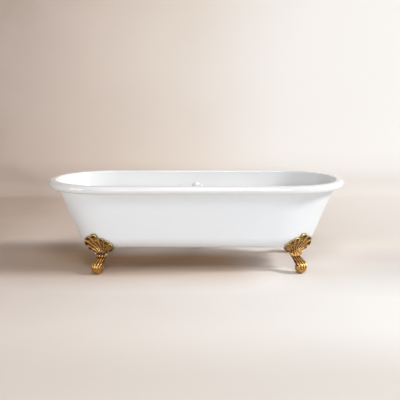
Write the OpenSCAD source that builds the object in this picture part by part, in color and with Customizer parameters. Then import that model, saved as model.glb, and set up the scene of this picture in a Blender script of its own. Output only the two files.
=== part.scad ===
/* [Tub] */
// Length over the rim
tub_length = 1830; // [1500:10:1900]
// Width over the rim
tub_width = 780; // [720:10:860]
// Height of the rim's top above the floor
tub_height = 544; // [520:2:570]
// Height of the flat underside above the floor
floor_gap = 144; // [138:1:152]
// Thickness of the iron with its enamel
wall = 8; // [6:0.5:10]
// Lean of the end walls from upright, in degrees
end_lean = 22; // [18:1:26]
// Lean of the long side walls from upright, in degrees
side_lean = 12; // [8:1:15]
// Outer radius between the walls and the flat underside
base_radius = 100; // [80:5:120]

/* [Rim] */
// Width of the rolled rim, from its inner edge to its outer edge
rim_width = 50; // [44:1:56]
// Depth of the roll, from its top to its turned-in lip
rim_drop = 48; // [38:1:54]
// Radius of the soft edge between the rim's top and the inner wall
rim_edge_radius = 12; // [8:1:14]

/* [Feet] */
// Direction that the left feet face, in degrees from the tub's length
left_foot_angle = 65.5; // [54:0.5:68]
// Direction that the right feet face, in degrees from the tub's length
right_foot_angle = 57.5; // [54:0.5:68]
// Radius of the ball
ball_radius = 35.5; // [32:0.5:37]
// Distance of the ball's middle outward from the middle of the ankle
ball_kick = 56; // [46:1:58]
// Width of the ankle
ankle_width = 62; // [52:1:66]
// Height of the ankle, where the fan begins
ankle_height = 103; // [96:1:106]
// Reach of the fan from the ankle up the tub's corner
fan_reach = 165; // [145:1:170]
// Half of the angle that the fan opens to, in degrees
fan_spread_angle = 64; // [54:1:66]
// Lean of the fan towards the end of the tub, in degrees
fan_tilt_angle = 14; // [0:1:16]
// Share by which the fan shortens towards the middle of the tub
fan_sweep_share = 0.42; // [0.2:0.01:0.5]
// Share by which the fan shortens towards the end of the tub
fan_droop_share = 0.3; // [0.1:0.01:0.4]
// Curl of the fan away from the tub, at 100 mm towards the tub's end
fan_curl = 13; // [0:1:15]
// Number of lobes along the fan's edge
fan_lobes = 7; // [5:2:9]
// Thickness of the fan at its edge
fan_thickness = 10; // [8:0.5:12]
// Height of the fan's ribs
fan_relief = 5; // [3:0.5:7]
// Clearance between the fan and the tub
fan_gap = 2; // [2:0.5:3]
// Thread diameter of the foot bolts
bolt_d = 12; // [10:1:14]
// Diameter of the rubber pad under each ball
pad_d = 22; // [18:1:24]
// Thickness of the rubber pad
pad_t = 4; // [3:0.5:5]

/* [Waste] */
// Distance of the drain and the overflow from the tub's middle, to the right
waste_x = 6; // [-20:1:20]
// Distance of the drain from the tub's middle, towards the back
drain_y = 120; // [90:5:130]
// Diameter of the drain hole in the tub
drain_hole_d = 50; // [49:0.5:54]
// Diameter of the drain's flange
drain_flange_d = 73; // [68:1:80]
// Outer diameter of the drain's barrel
drain_barrel_d = 46.8; // [44:0.2:48]
// Lift of the stopper when it is open
stopper_lift = 12; // [8:1:14]
// Outer diameter of the waste tubes
tube_d = 38.1; // [32:0.1:40]
// Wall of the waste tubes
tube_wall = 1.3; // [1:0.1:2]
// Height of the waste tube's axis above the floor
waste_z = 96; // [92:1:100]
// Height of the tailpiece's open end above the floor
tailpiece_end_z = 20; // [10:1:30]

/* [Overflow] */
// Depth of the overflow hole's middle below the rim's top
overflow_drop = 114; // [104:2:134]
// Diameter of the overflow hole in the tub
overflow_hole_d = 60; // [56:1:62]
// Diameter of the overflow's face plate
overflow_plate_d = 74; // [70:1:80]
// Distance between the two face plate screws
overflow_screw_gap = 44; // [40:1:46]

/* [Hidden] */

$fn = 64;
// Clearance between pieces that slide or screw together, on the radius
slip = 0.1;
// Overlap that makes two shapes of one casting a single solid
bite = 2;
// How far a cutting shape runs past the face that it cuts
over = 1;

// Steps round each rounded end of the tub
end_steps = 24;
// Steps round the radius between wall and underside
base_steps = 8;
// Steps round the roll
roll_steps = 9;
// Steps round the soft inner edge
edge_steps = 4;
// Angle at which the roll's lip stops, below level
lip_angle = -72;

base_centre_z = floor_gap + base_radius;
inner_radius = base_radius - wall;
tub_floor_z = floor_gap + wall;

// Where the soft inner edge meets a wall of this lean: offset from the rim's inner edge, and height
function edge_end_n(lean) = rim_edge_radius * (1 - cos(lean));
function edge_end_z(lean) = tub_height - rim_edge_radius * (1 - sin(lean));
// Offset of a wall's inner and outer faces from the rim's inner edge, at height z
function inner_n(z, lean) = edge_end_n(lean) - (edge_end_z(lean) - z) * tan(lean);
function outer_n(z, lean) = inner_n(z, lean) + wall / cos(lean);
// Offset of the centre of the radius between wall and underside
function base_n(lean) = inner_n(base_centre_z, lean) - inner_radius / cos(lean);
// Half of the tub's width and length at an offset from the rim's inner edge
function half_width(n) = tub_width / 2 - rim_width + n;
function half_length(n) = tub_length / 2 - rim_width + n;

roll_centre_n = rim_width / 2 + bite;
roll_centre_z = tub_height - rim_drop / 2;
roll_reach = rim_width - roll_centre_n;

// One side of the roll as an arc of an ellipse, from angle a to angle b, this far in from its outer skin
function roll_arc(inset, a, b) = [
    for (i = [0 : roll_steps])
        let (turn = a + (b - a) * i / roll_steps)
        [
            roll_centre_n + (roll_reach - inset) * cos(turn),
            roll_centre_z + (rim_drop / 2 - inset) * sin(turn)
        ]
];

// The radius between wall and underside, from the underside up to the wall
function base_arc(radius, lean) = [
    for (i = [0 : base_steps])
        let (turn = (90 - lean) * i / base_steps)
        [base_n(lean) + radius * sin(turn), base_centre_z - radius * cos(turn)]
];

function reversed(list) = [for (i = [len(list) - 1 : -1 : 0]) list[i]];

// The tub's section at a wall of this lean, as [offset, height], from under it over the rim to its floor
function section(lean) = concat(
    base_arc(base_radius, lean),
    [[outer_n(tub_height - wall, lean), tub_height - wall]],
    roll_arc(wall, 90, lip_angle),
    roll_arc(0, lip_angle, 90),
    [
        for (i = [0 : edge_steps])
            let (turn = 90 + (90 - lean) * i / edge_steps)
            [
                rim_edge_radius * (1 + cos(turn)),
                tub_height - rim_edge_radius * (1 - sin(turn))
            ]
    ],
    reversed(base_arc(inner_radius, lean))
);

// A point of the tub at this angle round its rounded end, from a side point and an end point of its section
function round_point(side, end, turn) =
    let (r = half_width(side[0]), centre = half_length(end[0]) - r, share = cos(turn) * cos(turn))
    [centre + r * cos(turn), r * sin(turn), side[1] * (1 - share) + end[1] * share];

// One level of the tub: a long outline with round ends
function ring(side, end) = [
    for (x_sign = [1, -1], i = [0 : end_steps])
        let (turn = 180 * i / end_steps - 90, p = round_point(side, end, turn))
        [x_sign * p[0], x_sign * p[1], p[2]]
];

// Faces that join rings of the same number of points
function wall_faces(rings, points) = [
    for (k = [0 : rings - 2], i = [0 : points - 1])
        let (a = k * points + i, b = k * points + (i + 1) % points)
        each [[a, a + points, b + points], [a, b + points, b]]
];

// A tub outline's cap, cut into strips straight across it
function cap_faces(first, points, up) = [
    for (i = [0 : points / 2 - 2])
        let (
            a = first + i,
            b = first + i + 1,
            c = first + points - 2 - i,
            d = first + points - 1 - i
        )
        each up ? [[a, c, b], [a, d, c]] : [[a, b, c], [a, c, d]]
];

module loft(rings) {
    points = len(rings[0]);
    count = len(rings);
    polyhedron(
        points = [for (level = rings) each level],
        faces = concat(
            wall_faces(count, points),
            cap_faces(0, points, false),
            cap_faces((count - 1) * points, points, true)
        ),
        convexity = 8
    );
}

// Middle of the round corner under the tub: its distance from the middle of the rounded end, and that middle
base_half_width = half_width(base_n(side_lean));
foot_axis_x = half_length(base_n(end_lean)) - base_half_width;

// A foot's lug is screwed from below to a pad cast under the tub
boss_inset = 12;
boss_x = base_half_width - boss_inset;
boss_d = 44;
boss_height = 6;
lug_t = 8;
lug_z = floor_gap - boss_height - lug_t;
lug_width = 44;
lug_inset = 4;
lug_hole_d = bolt_d + 1;
washer_t = 2.5;
washer_d = 2.2 * bolt_d;
bolt_head_t = 7;
bolt_head_d = 1.7 * bolt_d;
// The blind thread runs through the pad and this far into the underside, and the bolt stops short of its end
thread_in_wall = 4;
thread_end_gap = 1;
bolt_thread = boss_height + thread_in_wall;
ankle_offset = 62;
ankle_x = base_half_width + ankle_offset;
ball_x = ankle_x + ball_kick;
// The ball is flat below, this far out of its middle as a share of its radius
ball_flat_share = 0.97;
ball_flat_z = pad_t / 2;
ball_height = ball_flat_z + ball_flat_share * ball_radius;

// Which way a foot at this side of the tub faces
function foot_turn(x_sign) = x_sign > 0 ? right_foot_angle : left_foot_angle;

// The foot's place in the back right quarter, mirrored to its own corner
module at_corner(x_sign, y_sign) {
    mirror([x_sign < 0 ? 1 : 0, 0, 0]) mirror([0, y_sign < 0 ? 1 : 0, 0]) children();
}

// The foot's own frame: x runs out from the middle of the tub's rounded end, z is up
module in_foot(turn) {
    translate([foot_axis_x, 0, 0]) rotate([0, 0, turn]) children();
}

module at_feet() {
    for (x_sign = [-1, 1], y_sign = [-1, 1])
        at_corner(x_sign, y_sign) in_foot(foot_turn(x_sign)) children();
}

// Frame of the overflow: z runs out of the back wall, square to it, from the wall's outer face
overflow_z = tub_height - overflow_drop;
overflow_y = half_width(outer_n(overflow_z, side_lean));
module at_overflow() {
    translate([waste_x, overflow_y, overflow_z]) rotate([-90 - side_lean, 0, 0]) children();
}

drain_recess = 2.5;
recess_gap = 1.5;
module tub_shell() {
    side = section(side_lean);
    end = section(end_lean);
    color("white") difference() {
        union() {
            loft([for (k = [0 : len(side) - 1]) ring(side[k], end[k])]);
            at_feet() translate([boss_x, 0, floor_gap - boss_height])
                cylinder(d = boss_d, h = boss_height + bite);
        }
        at_feet() translate([boss_x, 0, floor_gap - boss_height - over])
            cylinder(d = bolt_d, h = bolt_thread + over);
        translate([waste_x, drain_y, floor_gap - bite]) cylinder(d = drain_hole_d, h = wall + 2 * bite);
        translate([waste_x, drain_y, tub_floor_z - drain_recess])
            cylinder(d = drain_flange_d + 2 * recess_gap, h = drain_recess + bite);
        at_overflow() translate([0, 0, -wall - bite])
            cylinder(d = overflow_hole_d, h = wall + 2 * bite);
    }
}

// Points round a foot section: four for each lobe in front, and as many behind
foot_points = 8 * fan_lobes;
// Levels of the ball and of the fan
ball_levels = 10;
fan_levels = 7;
// Reach at which the fan leaves the ankle
fan_root = 40;
// Distance towards the tub's end at which the fan's curl is measured
curl_width = 100;
// Distance from the middle of the rounded end at which the fan's width is measured
fan_bend_share = 0.8;
fan_bend_radius = base_half_width + fan_bend_share * base_radius;
fan_bend_arc = base_radius * (90 - side_lean) * PI / 180;

// A point near the tub's corner: turned so far round it, so far up it from the flat underside, so far off it
function corner_point(turn, up, off) =
    let (
        share = min(up / fan_bend_arc, 1),
        past = max(0, up - fan_bend_arc),
        radius = base_radius + off
    )
    round_point(
        corner_section(radius, share * (90 - side_lean), past, side_lean),
        corner_section(radius, share * (90 - end_lean), past, end_lean),
        turn
    );

function corner_section(radius, angle, past, lean) = [
    base_n(lean) + radius * sin(angle) + past * sin(lean),
    base_centre_z - radius * cos(angle) + past * cos(lean)
];

// How far up the corner, and how far off it, the fan's back and front lie at a height along the fan.
// The tables give both as shares of the fan's reach
function drawn(s, table) = fan_reach * lookup(s / fan_reach, table);
function back_up(s) = drawn(s, [[0, 0.158], [0.121, 0.194], [0.242, 0.255], [0.97, 0.97]]);
function back_off(s) = fan_gap + drawn(s, [[0, 0.248], [0.121, 0.115], [0.242, 0]]);
function front_up(s) = drawn(s, [
    [0, 0.352], [0.152, 0.388], [0.303, 0.461], [0.455, 0.576], [0.606, 0.721], [0.909, 0.909], [0.97, 0.97]
]);
function front_off(s) = fan_gap + fan_thickness
    + drawn(s, [[0, 0.315], [0.152, 0.17], [0.303, 0.06], [0.455, 0.018], [0.97, 0]]);

// The lobe that holds a share a of the fan's spread, from -1 on the outer side to 1 on the inner side
function lobe_index(a) = min(floor((a + 1) / 2 * fan_lobes + 0.001), fan_lobes - 1);
function lobe_middle(a) = (2 * lobe_index(a) + 1) / fan_lobes - 1;
// Place inside that lobe, from 0 at its middle to 1 at its sides
function lobe_place(a) = min(1, abs(a - lobe_middle(a)) * fan_lobes);
function lobe_reach(a) = fan_reach * (a > 0 ? 1 - fan_sweep_share * sqrt(a) : 1 - fan_droop_share * a * a);
// Depth of the notches between the lobes, as a share of the reach
lobe_depth_share = 0.1;
function fan_edge(a) =
    lobe_reach(lobe_middle(a)) * (1 - lobe_depth_share * (1 - sqrt(1 - pow(lobe_place(a), 2))));

// One level of the fan, b from 0 at its root to 1 at its edge, its front and then its back
function fan_level(turn, b) = [
    for (i = [0 : foot_points - 1])
        let (
            a = i <= foot_points / 2 ? 4 * i / foot_points - 1 : 3 - 4 * i / foot_points,
            front = i < foot_points / 2 ? pow(1 - a * a, 0.2) : 0,
            ray = fan_spread_angle * a - fan_tilt_angle,
            reach = fan_root + (fan_edge(a) - fan_root) * b,
            s = reach * cos(ray),
            across = reach * sin(ray),
            curl = fan_curl * pow(min(across, 0) / curl_width, 2),
            back = back_off(s) + curl / 2,
            rib = fan_relief * (cos(90 * lobe_place(a)) - 0.5) * sqrt(b)
        )
        corner_point(
            turn + across / fan_bend_radius * 180 / PI,
            back_up(s) + (front_up(s) - back_up(s)) * front,
            back + (front_off(s) + curl + rib - back) * front
        )
];

// Three talons grip the ball's front and one its back. Each is 1 at its middle and 0 from this angle off it
talon_angle = 56;
talon_half_angle = 25;
function talon(way) = max([
    for (at = [0, talon_angle, -talon_angle, 180])
        let (gap = acos(cos(way - at)))
        cos(90 * min(1, gap / talon_half_angle))
]);

// One level of the ball or leg
function leg_level(turn, x, z, thick, wide, grip) = [
    for (i = [0 : foot_points - 1])
        let (
            way = 360 * i / foot_points - 90,
            swell = grip * talon(way),
            out = x + (thick + swell) * cos(way),
            across = (wide + swell) * sin(way)
        )
        [foot_axis_x + out * cos(turn) - across * sin(turn), out * sin(turn) + across * cos(turn), z]
];

ball_low_angle = -asin(ball_flat_share);
ball_high_angle = 28;
function ball_level(turn, k) =
    let (
        rise = ball_low_angle + (ball_high_angle - ball_low_angle) * k / (ball_levels - 1),
        r = ball_radius * cos(rise)
    )
    leg_level(turn, ball_x, ball_height + ball_radius * sin(rise), r, r, k < 3 ? 0 : 0.4 * (k - 2));

// The leg above the ball: its share of the kick outward, its share of the height from ball to ankle,
// and its half thickness and half width as shares of the ankle's width
leg_stations = [
    [0.8, 0.4, 0.53, 0.55],
    [0.56, 0.56, 0.47, 0.5],
    [0.26, 0.72, 0.42, 0.47],
    [0.05, 0.86, 0.42, 0.47],
    [0, 1, 0.45, 0.52]
];
talon_relief = 2.5;
// A pearl is cast on each side of the neck: its size, and how far it lies off the ankle's middle and side
pearl_d = 18;
pearl_out = 12;
pearl_side = 6;
pearl_rise = 10;
function leg_section(turn, station) = leg_level(
    turn,
    ankle_x + ball_kick * station[0],
    ball_height + (ankle_height - ball_height) * station[1],
    station[2] * ankle_width,
    station[3] * ankle_width,
    talon_relief
);

// The cap on the fan's edge joins each point of its front to the point behind it
function edge_faces(first, points) = concat(
    [for (i = [1 : points / 2 - 1]) [first + i, first + points - i, first + i + 1]],
    [for (i = [0 : points / 2 - 2]) [first + i + 1, first + (points - i) % points, first + points - i - 1]]
);

module foot(turn) {
    rings = concat(
        [for (k = [0 : ball_levels - 1]) ball_level(turn, k)],
        [for (station = leg_stations) leg_section(turn, station)],
        [for (k = [0 : fan_levels]) fan_level(turn, k / fan_levels)]
    );
    count = len(rings);
    difference() {
        union() {
            polyhedron(
                points = [for (level = rings) each level],
                faces = concat(
                    wall_faces(count, foot_points),
                    [[for (i = [0 : foot_points - 1]) i]],
                    edge_faces((count - 1) * foot_points, foot_points)
                ),
                convexity = 8
            );
            in_foot(turn) {
                for (side = [-1, 1])
                    translate([
                        ankle_x + pearl_out,
                        side * (ankle_width / 2 + pearl_side),
                        ankle_height + pearl_rise
                    ])
                        sphere(d = pearl_d, $fn = 24);
                translate([boss_x, 0, lug_z]) {
                    cylinder(d = lug_width, h = lug_t);
                    translate([0, lug_inset - lug_width / 2, 0])
                        cube([ankle_x - boss_x, lug_width - 2 * lug_inset, lug_t]);
                }
            }
        }
        in_foot(turn) {
            translate([boss_x, 0, lug_z - over]) cylinder(d = lug_hole_d, h = lug_t + 2 * over);
            translate([ball_x, 0, -over]) cylinder(d = pad_d + 2 * slip, h = pad_t + over);
        }
    }
}

module front_left_foot() {
    color("goldenrod") at_corner(-1, -1) foot(left_foot_angle);
}

module front_right_foot() {
    color("goldenrod") at_corner(1, -1) foot(right_foot_angle);
}

module back_left_foot() {
    color("goldenrod") at_corner(-1, 1) foot(left_foot_angle);
}

module back_right_foot() {
    color("goldenrod") at_corner(1, 1) foot(right_foot_angle);
}

module foot_bolts() {
    head_z = lug_z - washer_t - bolt_head_t;
    color("silver") at_feet() translate([boss_x, 0, head_z]) {
        cylinder(d = bolt_head_d, h = bolt_head_t, $fn = 6);
        cylinder(
            d = bolt_d - 2 * slip,
            h = bolt_head_t + washer_t + lug_t + bolt_thread - thread_end_gap
        );
    }
}

module foot_washers() {
    color("silver") at_feet() translate([boss_x, 0, lug_z - washer_t])
        ring_of(washer_d, lug_hole_d, washer_t);
}

module foot_pads() {
    color("dimgray") at_feet() translate([ball_x, 0, 0]) cylinder(d = pad_d, h = pad_t);
}

// A flat ring on the frame's floor
module ring_of(outer_d, inner_d, h) {
    difference() {
        cylinder(d = outer_d, h = h);
        translate([0, 0, -over]) cylinder(d = inner_d, h = h + 2 * over);
    }
}

// Drain, from the top down. The flange's edge is bevelled, and its seat is a cone
drain_gasket_t = 1;
gasket_inset = 1.5;
gasket_hole_gap = 0.5;
flange_t = 3;
flange_edge_t = 1;
flange_bevel = 2.5;
flange_bottom_z = tub_floor_z - drain_recess + drain_gasket_t;
flange_top_z = flange_bottom_z + flange_t;
barrel_wall = 3.4;
barrel_bore_d = drain_barrel_d - 2 * barrel_wall;
barrel_length = 28;
barrel_bottom_z = flange_bottom_z - barrel_length;
seat_depth = 4;
bridge_t = 4;
bridge_width = 6;
post_d = 8;
hub_d = 2 * post_d;

module drain_gasket() {
    color("dimgray") translate([waste_x, drain_y, tub_floor_z - drain_recess])
        ring_of(drain_flange_d - 2 * gasket_inset, drain_hole_d + 2 * gasket_hole_gap, drain_gasket_t);
}

module drain_flange() {
    color("gainsboro") translate([waste_x, drain_y, 0]) difference() {
        union() {
            difference() {
                union() {
                    translate([0, 0, flange_bottom_z]) {
                        cylinder(d = drain_flange_d, h = flange_t - flange_edge_t);
                        translate([0, 0, flange_t - flange_edge_t]) cylinder(
                            d1 = drain_flange_d,
                            d2 = drain_flange_d - 2 * flange_bevel,
                            h = flange_edge_t
                        );
                    }
                    translate([0, 0, barrel_bottom_z])
                        cylinder(d = drain_barrel_d, h = barrel_length + over);
                }
                translate([0, 0, barrel_bottom_z - over])
                    cylinder(d = barrel_bore_d, h = barrel_length + flange_t + 2 * over);
                translate([0, 0, flange_top_z - seat_depth])
                    cylinder(d1 = barrel_bore_d, d2 = barrel_bore_d + 2 * seat_depth, h = seat_depth);
            }
            for (turn = [0, 90]) rotate([0, 0, turn])
                translate([-barrel_bore_d / 2 - over, -bridge_width / 2, barrel_bottom_z])
                    cube([barrel_bore_d + 2 * over, bridge_width, bridge_t]);
            translate([0, 0, barrel_bottom_z]) cylinder(d = hub_d, h = bridge_t);
        }
        translate([0, 0, barrel_bottom_z - over]) cylinder(d = post_d, h = bridge_t + 2 * over);
    }
}

// Underneath the tub
drain_washer_t = 4;
shoe_top_z = floor_gap - drain_washer_t;
shoe_flange_width = 10;
shoe_flange_d = drain_hole_d + 2 * shoe_flange_width;
shoe_flange_t = 6;
shoe_side = 5;
shoe_d = drain_barrel_d + 2 * shoe_side;
shoe_floor_t = 4;
shoe_floor_drop = 1;
thread_wall = 3;
nut_thread_d = tube_d + 2 * thread_wall;
nut_wall = 3.5;
nut_flats = nut_thread_d + 2 * nut_wall;
nut_length = 18;
nut_collar = 5;
nut_face_t = 3;
slip_washer_t = 4;
spigot_length = 20;
spigot_depth = 16;
spigot_end_gap = 1;

module drain_washer() {
    color("dimgray") translate([waste_x, drain_y, shoe_top_z])
        ring_of(shoe_flange_d, drain_hole_d, drain_washer_t);
}

shoe_outlet_y = drain_y + shoe_d / 2 + spigot_length;
module drain_shoe() {
    bottom_z = waste_z - nut_thread_d / 2 - shoe_floor_drop;
    color("gainsboro") difference() {
        union() {
            translate([waste_x, drain_y, bottom_z]) cylinder(d = shoe_d, h = shoe_top_z - bottom_z);
            translate([waste_x, drain_y, shoe_top_z - shoe_flange_t])
                cylinder(d = shoe_flange_d, h = shoe_flange_t);
            translate([waste_x, drain_y, waste_z]) rotate([-90, 0, 0])
                cylinder(d = nut_thread_d, h = shoe_outlet_y - drain_y);
        }
        translate([waste_x, drain_y, bottom_z + shoe_floor_t])
            cylinder(d = drain_barrel_d + 2 * slip, h = shoe_top_z);
        translate([waste_x, drain_y, waste_z]) rotate([-90, 0, 0])
            cylinder(d = tube_d - 2 * tube_wall, h = shoe_outlet_y - drain_y + over);
        translate([waste_x, shoe_outlet_y - spigot_depth, waste_z]) rotate([-90, 0, 0])
            cylinder(d = tube_d + 2 * slip, h = spigot_depth + over);
    }
}

// The stopper slides on the post and is lifted and turned by its knob
post_head_d = 12;
post_head_t = 3;
seal_t = 3;
seal_cone = 2;
seal_d = barrel_bore_d + 2 * seat_depth;
seat_gap = 0.4;
sleeve_d = 18;
sleeve_flange_t = 2;
sleeve_flange_gap = 2;
sleeve_bottom_gap = 2;
sleeve_in_cap = 2;
seal_bottom_z = flange_top_z - seal_cone + seat_gap;
cap_bottom_z = seal_bottom_z + seal_t;
cap_t = 5;
cap_lip = 2.5;
cap_d = seal_d + 2 * cap_lip;
knob_d = 17;
knob_height = 14;
sleeve_bottom_z = barrel_bottom_z + bridge_t + sleeve_bottom_gap;
// The post still guides this much of the sleeve when the stopper is lifted
post_guide = 7.4;
post_top_z = sleeve_bottom_z + stopper_lift + post_guide;
post_head_room = 2;

module stopper_post() {
    color("gold") translate([waste_x, drain_y, 0]) {
        translate([0, 0, barrel_bottom_z]) cylinder(d = post_d - 2 * slip, h = post_top_z - barrel_bottom_z);
        translate([0, 0, barrel_bottom_z - post_head_t]) cylinder(d = post_head_d, h = post_head_t);
    }
}

module stopper_sleeve() {
    color("gold") translate([waste_x, drain_y, 0]) difference() {
        union() {
            translate([0, 0, sleeve_bottom_z])
                cylinder(d = sleeve_d, h = cap_bottom_z + sleeve_in_cap - sleeve_bottom_z);
            translate([0, 0, seal_bottom_z - sleeve_flange_t])
                cylinder(d = barrel_bore_d - 2 * sleeve_flange_gap, h = sleeve_flange_t);
        }
        translate([0, 0, sleeve_bottom_z - over])
            cylinder(d = post_d, h = post_top_z + post_head_room - sleeve_bottom_z + over);
    }
}

module stopper_seal() {
    color("dimgray") translate([waste_x, drain_y, seal_bottom_z]) difference() {
        union() {
            cylinder(d1 = seal_d - 2 * seal_cone, d2 = seal_d, h = seal_cone);
            translate([0, 0, seal_cone]) cylinder(d = seal_d, h = seal_t - seal_cone);
        }
        translate([0, 0, -over]) cylinder(d = sleeve_d + 2 * slip, h = seal_t + 2 * over);
    }
}

// A shallow dome, with a socket for the sleeve under it and one for the knob's peg on top
cap_edge_t = 1.5;
cap_bevel = 1;
sleeve_socket = sleeve_in_cap + 2 * slip;
peg_d = 5;
peg_length = 3;
module stopper_cap() {
    color("gainsboro") translate([waste_x, drain_y, cap_bottom_z]) difference() {
        rotate_extrude() polygon(concat(
            [[0, 0], [cap_d / 2 - cap_bevel, 0]],
            [
                for (turn = [0 : 10 : 80])
                    [cap_d / 2 * cos(turn), cap_edge_t + (cap_t - cap_edge_t) * sin(turn)]
            ],
            [[0, cap_t]]
        ));
        translate([0, 0, -over]) cylinder(d = sleeve_d + 2 * slip, h = sleeve_socket + over);
        translate([0, 0, cap_t - peg_length]) cylinder(d = peg_d, h = peg_length + over);
    }
}

// A peg, a neck and a round grip, turned in one piece
knob_neck_d = 8;
knob_collar = 1;
knob_neck = 4;
knob_belly = 5;
knob_crown = 4;
module stopper_knob() {
    belly_z = peg_length + knob_height - knob_crown;
    color("gainsboro") translate([waste_x, drain_y, cap_bottom_z + cap_t - peg_length])
        rotate_extrude() polygon(concat(
            [
                [0, 0],
                [peg_d / 2 - slip, 0],
                [peg_d / 2 - slip, peg_length],
                [knob_neck_d / 2 + knob_collar, peg_length],
                [knob_neck_d / 2, peg_length + knob_neck]
            ],
            [
                for (turn = [-60 : 15 : 75])
                    [knob_d / 2 * cos(turn), belly_z + (turn < 0 ? knob_belly : knob_crown) * sin(turn)]
            ],
            [[0, belly_z + knob_crown]]
        ));
}

// The overflow's upright stands under the back rim, so that nothing reaches past the tub's outline
nut_reach = nut_flats / 2 / cos(30);
rim_clearance = 3;
upright_y = tub_width / 2 - nut_reach - rim_clearance;
tee_half = 43;
tee_shoulder = 1;
tee_d = nut_thread_d + 2 * tee_shoulder;
tee_front_y = upright_y - tee_half;
tee_top_z = waste_z + tee_half;
tee_bottom_z = waste_z - tee_half;
tail_spigot_depth = 10;
// A rolled bead stops the tailpiece at the tee's mouth
bead_t = 3;
bead_rise = 1.5;
elbow_drop = 50;
elbow_bottom_z = overflow_z - elbow_drop;

// A tube along z from the frame's floor
module tube(length) {
    ring_of(tube_d, tube_d - 2 * tube_wall, length);
}

module waste_tube() {
    start_y = shoe_outlet_y - spigot_depth + spigot_end_gap;
    color("gainsboro") translate([waste_x, start_y, waste_z]) rotate([-90, 0, 0])
        tube(tee_front_y + spigot_depth - spigot_end_gap - start_y);
}

module waste_tee() {
    bore_d = tube_d + 2 * slip;
    flow_d = tube_d - 2 * tube_wall;
    color("gainsboro") translate([waste_x, upright_y, waste_z]) difference() {
        union() {
            translate([0, 0, -tee_half]) cylinder(d = tee_d, h = 2 * tee_half - nut_length);
            cylinder(d = nut_thread_d, h = tee_half);
            rotate([90, 0, 0]) cylinder(d = nut_thread_d, h = tee_half);
        }
        translate([0, 0, -tee_half - over]) cylinder(d = flow_d, h = 2 * (tee_half + over));
        rotate([90, 0, 0]) cylinder(d = flow_d, h = tee_half + over);
        translate([0, 0, tee_half - spigot_depth]) cylinder(d = bore_d, h = spigot_depth + over);
        translate([0, 0, -tee_half - over]) cylinder(d = bore_d, h = tail_spigot_depth + over);
        translate([0, -tee_half + spigot_depth, 0]) rotate([90, 0, 0])
            cylinder(d = bore_d, h = spigot_depth + over);
    }
}

module tailpiece() {
    color("gainsboro") translate([waste_x, upright_y, 0]) {
        translate([0, 0, tailpiece_end_z]) tube(tee_bottom_z + tail_spigot_depth - tailpiece_end_z);
        translate([0, 0, tee_bottom_z - bead_t])
            ring_of(tube_d + 2 * bead_rise, tube_d - tube_wall, bead_t);
    }
}

module overflow_tube() {
    start_z = tee_top_z - spigot_depth + spigot_end_gap;
    color("gainsboro") translate([waste_x, upright_y, start_z])
        tube(elbow_bottom_z + spigot_depth - spigot_end_gap - start_z);
}

// Overflow, from the outside in
overflow_gasket_t = 4;
elbow_flange_width = 5;
elbow_flange_d = overflow_hole_d + 2 * elbow_flange_width;
elbow_flange_t = 5;
chamber_d = 50;
chamber_wall = 3;
chamber_corner = 10;
// The chamber reaches this far past the upright's axis
chamber_past = 24;
chamber_end = (upright_y - overflow_y) / cos(side_lean) + chamber_past;
elbow_mouth_d = 34;
elbow_stub_gap = 10;
screw_d = 5;
screw_head_d = 9;
screw_head_t = 2;

module overflow_gasket() {
    color("dimgray") at_overflow() ring_of(elbow_flange_d, overflow_hole_d, overflow_gasket_t);
}

// Outline of the elbow's chamber, with a soft outer corner
module chamber_outline(inset, start) {
    radius = chamber_corner - inset;
    polygon(concat(
        [[0, start], [chamber_d / 2 - inset, start]],
        [
            for (turn = [0 : 15 : 90])
                [
                    chamber_d / 2 - inset - radius * (1 - cos(turn)),
                    chamber_end - inset - radius * (1 - sin(turn))
                ]
        ],
        [[0, chamber_end - inset]]
    ));
}

module overflow_elbow() {
    color("gainsboro") difference() {
        union() {
            at_overflow() {
                translate([0, 0, overflow_gasket_t]) cylinder(d = elbow_flange_d, h = elbow_flange_t);
                rotate_extrude() chamber_outline(0, overflow_gasket_t + over);
            }
            translate([waste_x, upright_y, elbow_bottom_z])
                cylinder(d = nut_thread_d, h = elbow_drop - elbow_stub_gap);
        }
        at_overflow() {
            rotate_extrude() chamber_outline(chamber_wall, overflow_gasket_t + elbow_flange_t);
            cylinder(d = elbow_mouth_d, h = 2 * (overflow_gasket_t + elbow_flange_t));
            for (side = [-1, 1]) translate([side * overflow_screw_gap / 2, 0, 0])
                cylinder(d = screw_d, h = 2 * (overflow_gasket_t + elbow_flange_t));
        }
        translate([waste_x, upright_y, elbow_bottom_z - over]) {
            cylinder(d = tube_d + 2 * slip, h = spigot_depth + over);
            cylinder(d = tube_d - 2 * tube_wall, h = elbow_drop - elbow_stub_gap - chamber_wall + over);
        }
    }
}

// Half of the face plate's outline: a shallow dish whose edge lies on the tub's inner wall
plate_t = 1.8;
plate_rise = 8;
plate_slot_width = 24;
plate_slot_height = 3.5;
plate_slot_depth = 8;
// Height of the dish's face at a distance from its middle
function dish(d, rise, at) = rise * pow(sqrt(max(0, 1 - pow(at / d, 2))), 0.8);
module plate_outline() {
    r = overflow_plate_d / 2;
    outer = [for (turn = [90 : -10 : 0]) [r * cos(turn), dish(1, plate_rise, cos(turn))]];
    inner = [
        for (turn = [0 : 10 : 90])
            [(r - plate_t) * cos(turn), dish(1, plate_rise - plate_t, cos(turn))]
    ];
    polygon(concat(outer, inner));
}

module overflow_plate() {
    color("gainsboro") at_overflow() translate([0, 0, -wall]) rotate([180, 0, 0]) difference() {
        rotate_extrude() plate_outline();
        for (side = [-1, 1]) translate([side * overflow_screw_gap / 2, 0, -over])
            cylinder(d = screw_d + 6 * slip, h = plate_rise + 2 * over);
        translate([-plate_slot_width / 2, -overflow_plate_d / 2 - over, -over])
            cube([plate_slot_width, plate_slot_depth, plate_slot_height + over]);
    }
}

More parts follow.
